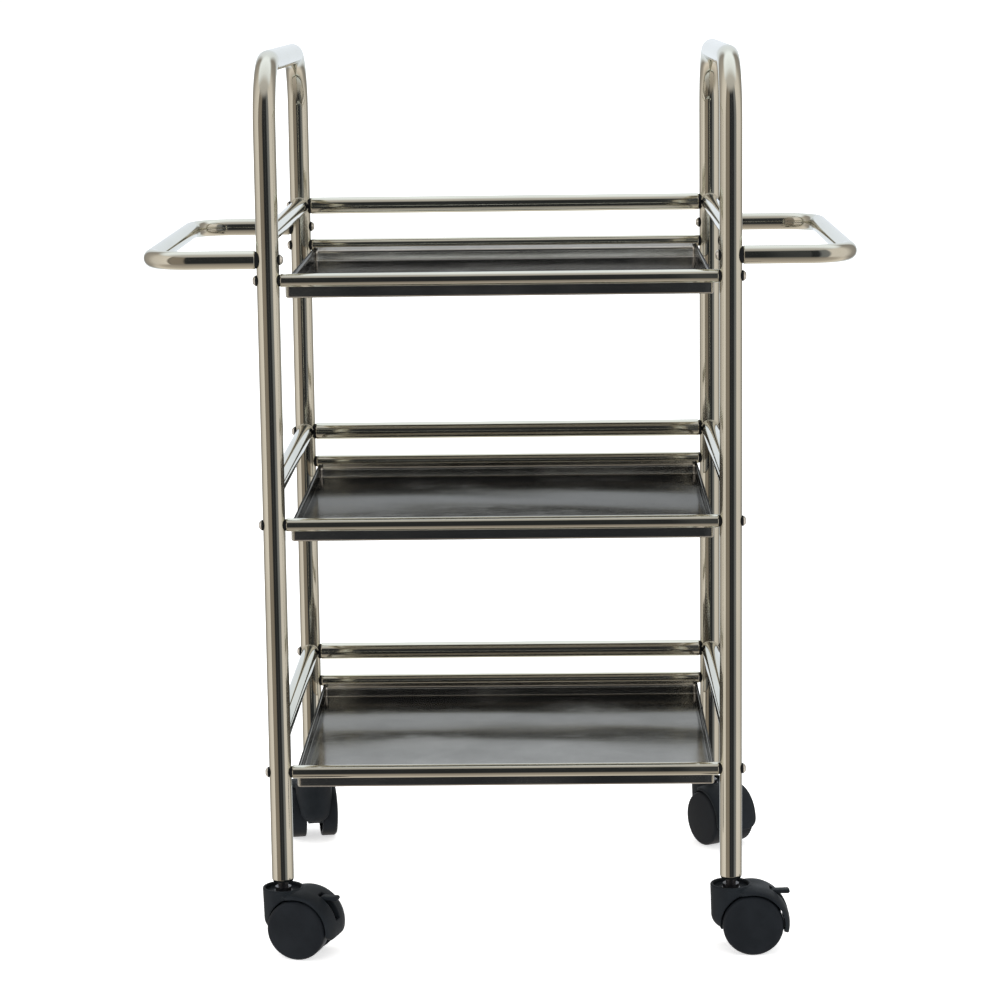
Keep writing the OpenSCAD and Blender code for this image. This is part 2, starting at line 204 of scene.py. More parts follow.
def tube(axes, start, heading, lengths, turns, radius, wall, roll=0.15 * MM, around=72):
    """A tube bent in the plane of axes[0] and axes[1], with open, rounded ends.

    The wall's closed outline of (s, r) pairs, outside, end lip, inside and start lip, is
    carried along the path P(s) with normal N(s): point = P + r (cos a N + sin a W). Near
    the ends r falls by roll (1 - d / 3 roll)^2, d being the distance from the end.
    """
    total, lip = float(np.sum(lengths)), wall / 2
    reach = 3 * roll
    ends = lip + np.linspace(0, reach, 6)
    inner = stations(lengths, turns)
    inner = inner[(inner > ends[-1]) & (inner < total - ends[-1])]
    s = np.concatenate([ends, inner, total - ends[::-1]])
    r = radius - roll * np.clip(1 - (np.minimum(s, total - s) - lip) / reach, 0, 1) ** 2
    lip_radius = radius - roll - lip
    end_lip = arc((total - lip, lip_radius), lip, 90, -90, 6)[1:-1]
    start_lip = arc((lip, lip_radius), lip, -90, -270, 6)[1:-1]
    outline = np.concatenate([
        np.stack([s, r], -1), end_lip, np.stack([s, r - wall], -1)[::-1], start_lip,
    ])
    place, bearing = bent_path(lengths, turns, heading, outline[:, 0])
    a = np.linspace(0, 2 * math.pi, around, endpoint=False)
    u, v, w = (np.asarray(axis, float) for axis in axes)
    centre = np.asarray(start, float) + place[:, :1] * u + place[:, 1:] * v
    normal = -np.sin(bearing)[:, None] * u + np.cos(bearing)[:, None] * v
    ring = np.cos(a)[None, :, None] * normal[:, None] + np.sin(a)[None, :, None] * w
    points = centre[:, None] + outline[:, 1][:, None, None] * ring
    closed = np.concatenate([outline, outline[:1]])
    return patch(points, run_length(closed), radius * np.append(a, 2 * math.pi))


def turned(outline, around=64, closed=True, swell=None):
    """A profile of (r, x) pairs turned about X: point = (x, r cos a, r sin a).

    swell scales r by angle, as rows x angles, for parts of a profile that aren't round.
    """
    outline = np.asarray(outline, float)
    a = np.linspace(0, 2 * math.pi, around, endpoint=False)
    r = outline[:, :1] * (np.ones((1, around)) if swell is None else swell)
    points = np.stack([outline[:, 1:] + 0 * r, r * np.cos(a), r * np.sin(a)], -1)
    lines = np.concatenate([outline, outline[:1]]) if closed else outline
    return patch(points, run_length(lines), np.max(outline[:, 0]) * np.append(a, 2 * math.pi))


def node_box(name):
    """Centre and half size of a CAD node's box."""
    low, high = (np.array(corner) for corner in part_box(name))
    return (low + high) / 2, (high - low) / 2


def finish_of(slot):
    """The procedural material made for a material slot of the frame."""
    return bpy.data.materials[f"{slot}_finish"]


def make_piece(name, patches, body, slot, replaces=(), sharp=40):
    """Makes one mesh piece of surface patches, its seams and poles closed and its faces outwards."""
    starts = np.cumsum([0] + [len(points) for points, _, _ in patches[:-1]])
    mesh = bpy.data.meshes.new(name)
    points = np.concatenate([p[0] for p in patches])
    quads = np.concatenate([p[1] + start for p, start in zip(patches, starts)])
    mesh.from_pydata(points.tolist(), [], quads.tolist())
    surface_map = mesh.uv_layers.new(name="surface")
    surface_map.data.foreach_set("uv", np.concatenate([p[2] for p in patches]).ravel())
    shell = bmesh.new()
    shell.from_mesh(mesh)
    bmesh.ops.remove_doubles(shell, verts=shell.verts, dist=0.002 * MM)
    bmesh.ops.recalc_face_normals(shell, faces=shell.faces)
    shell.to_mesh(mesh)
    shell.free()
    mesh.shade_smooth()
    mesh.set_sharp_from_angle(angle=math.radians(sharp))
    mesh.materials.append(finish_of(slot))
    piece = bpy.data.objects.new(name, mesh)
    bpy.context.scene.collection.objects.link(piece)
    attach(piece, body)
    if replaces:
        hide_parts(*replaces)
    return piece


# ---------------------------------------------------------------- materials


class Wiring:
    """A node tree under construction: short calls that add and join its nodes."""

    def __init__(self, owner):
        owner.use_nodes = True
        self.nodes = owner.node_tree.nodes
        self.links = owner.node_tree.links

    def remap(self, value, low, high, to_low, to_high):
        """A smooth step from to_low, where value is low, to to_high, where it is high."""
        node = self.nodes.new("ShaderNodeMapRange")
        node.interpolation_type = "SMOOTHSTEP"
        for name, number in zip(("From Min", "From Max", "To Min", "To Max"), (low, high, to_low, to_high)):
            node.inputs[name].default_value = number
        self.links.new(value, node.inputs["Value"])
        return node.outputs["Result"]

    def math(self, operation, a, b=0.0):
        """One sum of two values, each a socket or a number."""
        node = self.nodes.new("ShaderNodeMath")
        node.operation = operation
        for socket, value in zip(node.inputs, (a, b)):
            if isinstance(value, (int, float)):
                socket.default_value = value
            else:
                self.links.new(value, socket)
        return node.outputs["Value"]


class Finish(Wiring):
    """A procedural material under construction."""

    def __init__(self, name):
        self.material = bpy.data.materials.new(f"{name}_finish")
        super().__init__(self.material)
        self.shader = self.nodes["Principled BSDF"]
        self.coordinates = self.nodes.new("ShaderNodeTexCoord")

    def set(self, **values):
        """Sets the shader's own sockets by name, underscores standing for spaces."""
        for name, value in values.items():
            self.shader.inputs[name.replace("_", " ")].default_value = value

    def place(self, stretch=(1, 1, 1), source="Object"):
        """Object or surface coordinates, stretched by a factor along each axis."""
        mapping = self.nodes.new("ShaderNodeMapping")
        mapping.inputs["Scale"].default_value = stretch
        self.links.new(self.coordinates.outputs[source], mapping.inputs["Vector"])
        return mapping.outputs["Vector"]

    def noise(self, vector, scale, detail=3.0, rough=0.5):
        """Fractal noise from 0 to 1."""
        node = self.nodes.new("ShaderNodeTexNoise")
        node.inputs["Scale"].default_value = scale
        node.inputs["Detail"].default_value = detail
        node.inputs["Roughness"].default_value = rough
        self.links.new(vector, node.inputs["Vector"])
        return node.outputs["Fac"]

    def cells(self, vector, scale):
        """Each cell's own random colour, in cells of about 1 / scale."""
        node = self.nodes.new("ShaderNodeTexVoronoi")
        node.inputs["Scale"].default_value = scale
        self.links.new(vector, node.inputs["Vector"])
        return node.outputs["Color"]

    def tint(self, value, dark, light):
        """A colour between dark and light, which goes to the shader's base colour."""
        node = self.nodes.new("ShaderNodeMix")
        node.data_type = "RGBA"
        node.inputs[6].default_value = (*dark, 1)
        node.inputs[7].default_value = (*light, 1)
        self.links.new(value, node.inputs["Factor"])
        self.links.new(node.outputs[2], self.shader.inputs["Base Color"])

    def roughness(self, value):
        """Sends a value to the shader's roughness."""
        self.links.new(value, self.shader.inputs["Roughness"])

    def bump(self, height, millimetres):
        """Raises the surface by height times a depth, on top of any earlier bump."""
        node = self.nodes.new("ShaderNodeBump")
        node.inputs["Distance"].default_value = millimetres * MM
        self.links.new(height, node.inputs["Height"])
        earlier = self.shader.inputs["Normal"].links
        if earlier:
            self.links.new(earlier[0].from_socket, node.inputs["Normal"])
        self.links.new(node.outputs["Normal"], self.shader.inputs["Normal"])


def shade(base, amount):
    """A colour made lighter or darker by a factor."""
    return tuple(min(1.0, channel * amount) for channel in base)


def polished_tube(colours):
    """Polished stainless tube: fine lines drawn along it, faint smears, hardly any waviness."""
    finish = Finish("polished_tube")
    finish.set(Metallic=1.0, Specular_Tint=(0.86, 0.87, 0.88, 1.0))
    base = colours.tube_roughness
    lines = finish.noise(finish.place((60, 3000, 1), "UV"), 1.0, 4.0, 0.6)
    smears = finish.noise(finish.place(), 14.0, 4.0, 0.65)
    tone = finish.noise(finish.place(), 6.0, 2.0)
    finish.tint(finish.remap(tone, 0.3, 0.7, 0, 1), shade(colours.tube, 0.94), shade(colours.tube, 1.05))
    drawn = finish.remap(lines, 0.3, 0.75, base * 0.75, base * 1.35)
    finish.roughness(finish.math("ADD", drawn, finish.remap(smears, 0.52, 0.75, 0.0, base * 0.9)))
    finish.bump(lines, 0.001)
    finish.bump(finish.noise(finish.place(), 26.0, 2.0), 0.02)
    return finish


def tray_sheet(colours):
    """Mill-polished sheet: a grain across its width, shallow unevenness and hairline scratches."""
    finish = Finish("tray_sheet")
    finish.set(Metallic=1.0, Specular_Tint=(0.27, 0.27, 0.27, 1.0))
    base = colours.tray_roughness
    grain = finish.noise(finish.place((25, 1400, 1400)), 1.0, 5.0, 0.7)
    cloud = finish.noise(finish.place(), 9.0, 4.0, 0.6)
    scratches = finish.noise(finish.place((900, 18, 900)), 1.0, 2.0, 0.4)
    finish.tint(finish.remap(cloud, 0.3, 0.7, 0, 1), shade(colours.tray, 0.9), shade(colours.tray, 1.1))
    rubbed = finish.remap(grain, 0.3, 0.7, base * 0.7, base * 1.4)
    hazed = finish.remap(cloud, 0.45, 0.75, 0.0, base * 0.8)
    finish.roughness(finish.math("ADD", rubbed, hazed))
    finish.bump(grain, 0.0035)
    finish.bump(finish.remap(scratches, 0.66, 0.72, 0.0, 1.0), -0.002)
    finish.bump(finish.noise(finish.place(), 26.0, 2.0), 0.03)
    return finish


def screw_steel(colours):
    """Screw heads: polished, with turning marks and a little dirt in random patches."""
    finish = Finish("screw_steel")
    finish.set(Metallic=1.0)
    marks = finish.noise(finish.place((9000, 300, 300)), 1.0, 3.0)
    dirt = finish.noise(finish.place(), 400.0, 3.0)
    finish.tint(finish.remap(dirt, 0.35, 0.65, 0, 1), shade(colours.screw, 0.8), shade(colours.screw, 1.1))
    finish.roughness(finish.remap(marks, 0.3, 0.7, 0.12, 0.26))
    finish.bump(marks, 0.004)
    return finish


def zinc_hardware(colours):
    """Zinc plate: small crystals of slightly different grey and a soft shine."""
    finish = Finish("zinc_hardware")
    finish.set(Metallic=1.0)
    crystals = finish.cells(finish.place(), 900.0)
    haze = finish.noise(finish.place(), 250.0, 4.0)
    finish.tint(crystals, shade(colours.zinc, 0.8), shade(colours.zinc, 1.15))
    finish.roughness(finish.remap(haze, 0.3, 0.7, 0.28, 0.46))
    finish.bump(haze, 0.01)
    return finish


def grained_plastic(name, base_colour, roughness, grain_scale, depth):
    """Moulded black plastic: a fine spark-eroded grain, faint flow marks and handled patches."""
    finish = Finish(name)
    finish.set(IOR=1.5, Specular_IOR_Level=0.12)
    grain = finish.noise(finish.place(), grain_scale, 3.0, 0.6)
    flow = finish.noise(finish.place(), 45.0, 3.0, 0.55)
    tone = finish.math("ADD", finish.remap(flow, 0.3, 0.7, 0, 0.6), finish.remap(grain, 0.35, 0.65, 0, 0.4))
    finish.tint(tone, shade(base_colour, 0.82), shade(base_colour, 1.22))
    uneven = finish.remap(flow, 0.3, 0.7, roughness * 0.88, roughness * 1.1)
    finish.roughness(finish.math("ADD", uneven, finish.remap(grain, 0.3, 0.7, -0.04, 0.04)))
    finish.bump(grain, depth)
    return finish


class TROLLEY_OT_materials(bpy.types.Operator):
    """Makes the procedural materials, one for each material slot of the frame"""

    bl_idname = "trolley.materials"
    bl_label = "Materials"

    def execute(self, context):
        colours = context.scene.trolley_colours
        rough = colours.plastic_roughness
        polished_tube(colours)
        tray_sheet(colours)
        screw_steel(colours)
        zinc_hardware(colours)
        grained_plastic("saddle_plastic", tuple(colours.saddle), rough, 1400.0, 0.02)
        grained_plastic("caster_plastic", tuple(colours.caster), rough, 1500.0, 0.05)
        grained_plastic("wheel_plastic", tuple(colours.wheel), rough * 0.94, 1700.0, 0.035)
        return {"FINISHED"}


# ---------------------------------------------------------------- frame


def leg_places():
    """X of the right legs, Y of the rear legs, and the legs' radius, from an end frame's box."""
    centre, half = node_box("right_end_frame")
    return centre[0], half[1] - half[0], half[0]


class TROLLEY_OT_end_frames(bpy.types.Operator):
    """Makes the two end frames: one tube each, up from the front leg, over and down to the rear"""

    bl_idname = "trolley.end_frames"
    bl_label = "End Frames"

    def execute(self, context):
        sizes = context.scene.trolley_sizes
        quarter = math.pi / 2
        for side in SIDES:
            name = f"{side}_end_frame"
            centre, half = node_box(name)
            radius, bend = half[0], sizes.top_bend
            foot = centre - half
            lengths = [2 * half[2] - radius - bend, bend * quarter, 2 * (half[1] - radius - bend)]
            lengths += lengths[1::-1]
            start = (centre[0], foot[1] + radius, foot[2])
            shell = tube(
                (Y, Z, X), start, quarter, lengths, [0, -quarter, 0, -quarter, 0],
                radius, sizes.leg_wall, roll=sizes.leg_roll, around=96,
            )
            make_piece(f"{name}_tube", [shell], "frame", "polished_tube", [name])
        return {"FINISHED"}


def coped_rail(x, z, leg_y, leg_radius, radius, wall, around=72):
    """A side rail, both ends hollowed to fit the round legs.

    Its end at angle a is where the rail meets the leg, at a distance from the leg's axis of
    sqrt(R^2 - (r cos a)^2). The wall's closed outline runs out on r and back on r - wall.
    """
    a = np.linspace(0, 2 * math.pi, around, endpoint=False)
    t = np.linspace(-1, 1, 9)
    t = np.concatenate([t, t[::-1]])[:, None]
    r = np.repeat([radius, radius - wall], 9)[:, None]
    end = leg_y - np.sqrt((leg_radius + WELD_GAP) ** 2 - (r * np.cos(a)) ** 2)
    points = np.stack([x + r * np.cos(a), t * end, z + r * np.sin(a) + 0 * t], -1)
    outline = np.concatenate([t * leg_y, r], 1)
    along = run_length(np.concatenate([outline, outline[:1]]))
    return patch(points, along, radius * np.append(a, 2 * math.pi))


def weld_bead(x, z, s, leg_y, leg_radius, radius, bead, around=240):
    """The bead along the joint of a rail and a leg: a ring of radius b(a) about the joint's curve.

    b(a) = bead (1 + ripple |sin(n a)|), n ripples to a half turn, as overlapping weld spots give.
    """
    ripples, ripple = 17, 0.22
    a = np.linspace(0, 2 * math.pi, around, endpoint=False)
    p = np.linspace(0, 2 * math.pi, 14, endpoint=False)[:, None]
    size = bead * (1 - ripple / 2 + ripple * np.abs(np.sin(ripples * a)))
    out = radius - 0.2 * bead + size * np.cos(p)
    joint = s * (leg_y - np.sqrt(leg_radius**2 - (radius * np.cos(a)) ** 2))
    points = np.stack([x + out * np.cos(a), joint + size * np.sin(p), z + out * np.sin(a)], -1)
    return patch(points, bead * np.linspace(0, 2 * math.pi, 15), radius * np.append(a, 2 * math.pi))


class TROLLEY_OT_side_rails(bpy.types.Operator):
    """Makes the six side rails, coped and welded between the legs"""

    bl_idname = "trolley.side_rails"
    bl_label = "Side Rails"

    def execute(self, context):
        sizes = context.scene.trolley_sizes
        _, leg_y, leg_radius = leg_places()
        for tier in TIERS:
            for side in SIDES:
                name = f"{side}_{tier}_side_rail"
                centre, half = node_box(name)
                joint = (leg_y, leg_radius, half[0])
                shells = [coped_rail(centre[0], centre[2], *joint, sizes.rail_wall)]
                for s in (-1, 1):
                    shells.append(weld_bead(centre[0], centre[2], s, *joint, sizes.weld_bead))
                make_piece(f"{name}_welded", shells, "frame", "polished_tube", [name])
        return {"FINISHED"}


class TROLLEY_OT_cross_rails(bpy.types.Operator):
    """Makes the nine straight rails between the left and right legs"""

    bl_idname = "trolley.cross_rails"
    bl_label = "Cross Rails"

    def execute(self, context):
        sizes = context.scene.trolley_sizes
        for tier in TIERS:
            for kind in ("front_rail", "rear_rail", "guard_rail"):
                name = f"{tier}_{kind}"
                centre, half = node_box(name)
                start = centre - (half[0], 0, 0)
                shell = tube((X, Y, Z), start, 0, [2 * half[0]], [0], half[2], sizes.rail_wall)
                make_piece(f"{name}_tube", [shell], "frame", "polished_tube", [name])
        return {"FINISHED"}


class TROLLEY_OT_handles(bpy.types.Operator):
    """Makes the two U-shaped push handles"""

    bl_idname = "trolley.handles"
    bl_label = "Handles"

    def execute(self, context):
        sizes = context.scene.trolley_sizes
        quarter = math.pi / 2
        for side, s in SIDES.items():
            name = f"{side}_handle"
            centre, half = node_box(name)
            radius, bend = half[2], sizes.handle_bend
            lengths = [2 * half[0] - radius - bend, bend * quarter, 2 * (half[1] - radius - bend)]
            lengths += lengths[1::-1]
            start = (centre[0] - s * half[0], radius - half[1], centre[2])
            shell = tube(
                (s * X, Y, Z), start, 0, lengths, [0, quarter, 0, quarter, 0],
                radius, sizes.rail_wall, around=84,
            )
            make_piece(f"{name}_tube", [shell], "frame", "polished_tube", [name])
        return {"FINISHED"}


# ---------------------------------------------------------------- trays


def tray_profile(sizes, depth):
    """The sheet's inner face from the floor's flat to the hem's edge, as (r, z) pairs.

    A flat, a quarter bend, the wall, a tight half bend inwards and the hem, each a straight
    or an arc. r is the distance out from the corners' centres.
    """
    sheet, fold = sizes.tray_sheet, sizes.tray_fold
    wall_r = sizes.tray_corner - sheet
    hem_r = 0.12 * MM
    hem_z = depth - sheet - hem_r
    rows = [
        [(0, sheet)],
        arc((wall_r - fold, sheet + fold), fold, -90, 0, 6),
        [(wall_r, (sheet + fold + hem_z) / 2)],
        arc((wall_r - hem_r, hem_z), hem_r, 0, 180, 6),
        [(wall_r - 2 * hem_r, hem_z - sizes.tray_hem)],
    ]
    return np.concatenate(rows)


def tray_surface(centre, half, sizes, phase):
    """A tray's inner face on a square grid whose outer bands follow the fold profile.

    Point = core + R (cos a, sin a), height Z. The core point is held to a rectangle set in
    by the corner radius. In a band, R and Z are the profile at the larger of the two band
    steps m and n, and a turns through the corner with their ratio. The floor rises by
    crown (1 - (x/w)^2)(1 - (y/d)^2), with slight waves on it.
    """
    profile = tray_profile(sizes, 2 * half[2])
    bands = len(profile) - 1
    core_x, core_y = half[:2] - sizes.tray_corner

    def line(core, cells):
        """Core coordinate, band step and side of each grid line across one direction."""
        flat = np.linspace(-core, core, cells + 1)
        steps = np.concatenate([np.arange(bands, 0, -1), np.zeros(cells + 1), np.arange(1, bands + 1)])
        return np.clip(np.pad(flat, bands, mode="edge"), -core, core), steps

    (px, m), (py, n) = line(core_x, 64), line(core_y, 60)
    px, m = px[:, None], m[:, None]
    step = np.maximum(m, n)
    a = np.where(m >= n, n / np.maximum(m, 1), 2 - m / np.maximum(n, 1)) * math.pi / 4
    out = profile[:, 0][step.astype(int)]
    x = px + np.sign(px) * np.cos(a) * out * (step > 0)
    y = py + np.sign(py) * np.sin(a) * out * (step > 0)
    inside = (1 - np.clip(x / half[0], -1, 1) ** 2) * (1 - np.clip(y / half[1], -1, 1) ** 2)
    waves = np.sin(31 * x + phase) * np.sin(27 * y + 2 * phase) + np.sin(17 * x + 53 * y + phase)
    rise = inside * (sizes.tray_crown + sizes.tray_wave * waves)
    z = centre[2] - half[2] + profile[:, 1][step.astype(int)] + rise * (step <= 1)
    points = np.stack([x + centre[0], y + centre[1] + 0 * x, z], -1)
    return patch(points, run_length(points[:, len(py) // 2]), run_length(points[len(px) // 2]))


class TROLLEY_OT_trays(bpy.types.Operator):
    """Makes the three sheet trays, crowned a little and hemmed along the top"""

    bl_idname = "trolley.trays"
    bl_label = "Trays"

    def execute(self, context):
        sizes = context.scene.trolley_sizes
        for phase, tier in enumerate(TIERS):
            name = f"{tier}_tray"
            centre, half = node_box(name)
            piece = make_piece(
                f"{name}_sheet", [tray_surface(centre, half, sizes, 1.3 * phase)],
                "frame", "tray_sheet", [name], sharp=60,
            )
            thicken = piece.modifiers.new("sheet", "SOLIDIFY")
            thicken.thickness = sizes.tray_sheet
            thicken.offset = -1.0
            thicken.use_even_offset = True
            thicken.use_quality_normals = True
        return {"FINISHED"}


# ---------------------------------------------------------------- fastenings


def screw(radius, height, shank_radius, shank, socket):
    """A button head screw along +X, its head's underside at 0 and its head towards -X.

    The profile runs from the socket's floor out over the dome and down the shank. Round the
    socket r is a hexagon's, r / cos(a mod 60 - 30 degrees), and elsewhere a circle's.
    """
    around = 48
    depth = 0.65 * height
    flat = socket / 2
    dome = (radius**2 + height**2) / (2 * height)
    top = math.degrees(math.asin(1.25 * flat / dome))
    side = math.degrees(math.asin(0.97 * radius / dome))
    face = arc((0, dome - height), dome, -90 + top, -90 + side, 8)
    lip_x = face[0, 1]
    rows = [
        [(0, depth - height), (0.9 * flat, depth - height), (flat, depth - height - 0.1 * MM)],
        [(flat, lip_x + 0.15 * MM), (1.06 * flat, lip_x + 0.02 * MM)],
        face,
        [(radius, -0.35 * MM), (0.985 * radius, -0.08 * MM), (0.95 * radius, 0)],
        [(shank_radius, 0), (shank_radius, shank - 0.6 * MM), (0.8 * shank_radius, shank), (0, shank)],
    ]
    outline = np.concatenate(rows)
    a = np.linspace(0, 360, around, endpoint=False)
    hexagon = 1 / np.cos(np.radians(a % 60 - 30))
    swell = np.ones((len(outline), around))
    swell[:5] = hexagon
    return turned(outline, around, closed=False, swell=swell)


def saddle(leg_radius, thickness, radius, clear=0.0, around=64):
    """A saddle washer along +X from a leg's axis: hollowed to the leg, flat on its far face.

    Its leg face is at x = sqrt(R^2 - y^2), or at sqrt(c^2 - z^2) where that is more, c being
    the radius to keep clear of a side rail. The flat face's outer edge is rounded.
    """
    edge, hole = 0.45 * MM, 3.2 * MM
    far = leg_radius + thickness
    a = np.linspace(0, 2 * math.pi, around, endpoint=False)
    outer = arc((radius - edge, far - edge), edge, 0, 90, 5)
    r = np.concatenate([np.full(2, hole), [radius - 0.2 * MM, radius], outer[:, 0], [hole]])[:, None]
    leg_side = np.sqrt((leg_radius + WELD_GAP) ** 2 - (r * np.cos(a)) ** 2)
    leg_side = np.maximum(leg_side, np.sqrt(np.clip(clear**2 - (r * np.sin(a)) ** 2, 0, None)))
    blend = np.array([0, 0, 0, 0.15 * MM])[:, None]
    x = np.concatenate([leg_side[:4] + blend, outer[:, 1:] + 0 * a, np.full((1, around), far)])
    x[0] = far
    points = np.stack([x, r * np.cos(a), r * np.sin(a)], -1)[1:]
    lines = np.stack([np.r_[x[1:, 0], x[1, 0]], np.r_[r[1:, 0], r[1, 0]]], -1)
    return patch(points, run_length(lines), radius * np.append(a, 2 * math.pi))


def rail_ends():
    """The cross rails' and handles' ends: leg side, front or rear, height, and the tube's radius."""
    ends = {"tray_rail": [], "guard_rail": []}
    for tier in TIERS:
        for kind in ("front_rail", "rear_rail", "guard_rail"):
            group = "guard_rail" if kind == "guard_rail" else "tray_rail"
            centre, half = node_box(f"{tier}_{kind}")
            ends[group] += [(s, centre[1], centre[2], half[2]) for s in SIDES.values()]
    centre, half = node_box("right_handle")
    depth = half[1] - half[2]
    ends["handle"] = [(s, y, centre[2], half[2]) for s in SIDES.values() for y in (-depth, depth)]
    return ends


def at_leg(surface, s, y, z, leg_x, inwards):
    """Puts a part drawn along +X from a leg's axis on a left (-1) or right (+1) leg.

    inwards turns it to the rails, otherwise it points out to the handle.
    """
    direction = -s if inwards else s
    return moved(surface, (direction * X, direction * Y, Z), (s * leg_x, y, z))


class TROLLEY_OT_screws(bpy.types.Operator):
    """Makes the button head screws of the rails and of the handles"""

    bl_idname = "trolley.screws"
    bl_label = "Screws"

    def execute(self, context):
        sizes = context.scene.trolley_sizes
        leg_x, _, leg_radius = leg_places()
        head_height, shank_radius, shank = 3.3 * MM, 3 * MM, 38 * MM
        shell = screw(SCREW_HEAD, head_height, shank_radius, shank, sizes.socket)
        shell = moved(shell, np.eye(3), (-leg_radius - sizes.washer - WELD_GAP, 0, 0))
        ends = rail_ends()
        rails = ends["tray_rail"] + ends["guard_rail"]
        for name, places, inwards in (("rail_screws", rails, True), ("handle_screws", ends["handle"], False)):
            shells = [at_leg(shell, s, y, z, leg_x, inwards) for s, y, z, _ in places]
            make_piece(f"{name}_button_head", shells, "frame", "screw_steel", [name])
        return {"FINISHED"}


class TROLLEY_OT_saddles(bpy.types.Operator):
    """Makes the black saddle washers under the tubes' ends and under the screw heads"""

    bl_idname = "trolley.saddles"
    bl_label = "Saddle Washers"

    def execute(self, context):
        leg_x, _, leg_radius = leg_places()
        thickness = leg_x - leg_radius - node_box("top_front_rail")[1][0]
        side_rail = node_box("right_top_side_rail")[1][0]
        inset, clearance = 0.75 * MM, 0.15 * MM
        under_head = saddle(leg_radius, context.scene.trolley_sizes.washer, SCREW_HEAD)
        washers = []
        for group, places in rail_ends().items():
            inwards = group != "handle"
            clear = side_rail + clearance if group == "guard_rail" else 0.0
            shells = []
            for s, y, z, radius in places:
                shell = saddle(leg_radius, thickness, radius - inset, clear)
                shells.append(at_leg(shell, s, y, z, leg_x, inwards))
                washers.append(at_leg(under_head, s, y, z, leg_x, not inwards))
            name = f"{group}_saddles"
            make_piece(f"{name}_moulded", shells, "frame", "saddle_plastic", [name])
        make_piece("screw_washers_moulded", washers, "frame", "saddle_plastic", ["screw_washers"])
        return {"FINISHED"}


class TROLLEY_OT_hidden_hardware(bpy.types.Operator):
    """Gives the plugs, inserts, stems, washers, rings, axles and pins their finish"""

    bl_idname = "trolley.hidden_hardware"
    bl_label = "Hidden Hardware"

    def execute(self, context):
        zinc = ["tray_rail_inserts", "guard_rail_inserts", "handle_inserts", "caster_stems"]
        zinc += ["thrust_washers", "stem_snap_rings"]
        zinc += [f"{corner}_caster_axle" for corner in CORNERS]
        zinc += [f"{corner}_brake_pin" for corner in BRAKED]
        finishes = {name: "zinc_hardware" for name in zinc}
        finishes["leg_plugs"] = "saddle_plastic"
        for name, slot in finishes.items():
            mesh = frame["nodes"][name].data
            mesh.materials.clear()
            mesh.materials.append(finish_of(slot))
        return {"FINISHED"}


# ---------------------------------------------------------------- casters


def caster_places():
    """Each caster's swivel foot on the floor and its axes: trail, axle and up, from its joints."""
    joints = {joint["name"]: joint for joint in frame["joints"]}
    places = {}
    for corner in CORNERS:
        foot = np.array(joints[f"{corner}_swivel"]["pos_m"]) * (1, 1, 0)
        axle = np.array(joints[f"{corner}_left_wheel_spin"]["axis"])
        places[corner] = (foot, np.array([np.cross(axle, Z), axle, Z]))
    return places


def axle_place():
    """Trail and height of a caster's axle."""
    joints = {joint["name"]: joint for joint in frame["joints"]}
    swivel = np.array(joints["front_left_swivel"]["pos_m"])
    axle = np.array(joints["front_left_left_wheel_spin"]["pos_m"])
    return float(np.linalg.norm((axle - swivel)[:2])), float(axle[2])


def smooth_max(a, b, blend):
    """The larger of two distances, rounded where they are within blend of each other."""
    h = np.clip(blend - np.abs(a - b), 0, None)
    return np.maximum(a, b) + h * h / (4 * blend)


def smooth_min(a, b, blend):
    """The smaller of two distances, filled where they are within blend of each other."""
    return -smooth_max(-a, -b, blend)


def past(r, angle, limit):
    """Distance beyond a plane through the axle: r sin(limit - angle), for parts short of the limit."""
    return -r * np.sin(np.clip(angle - limit, -math.pi / 2, math.pi / 2))


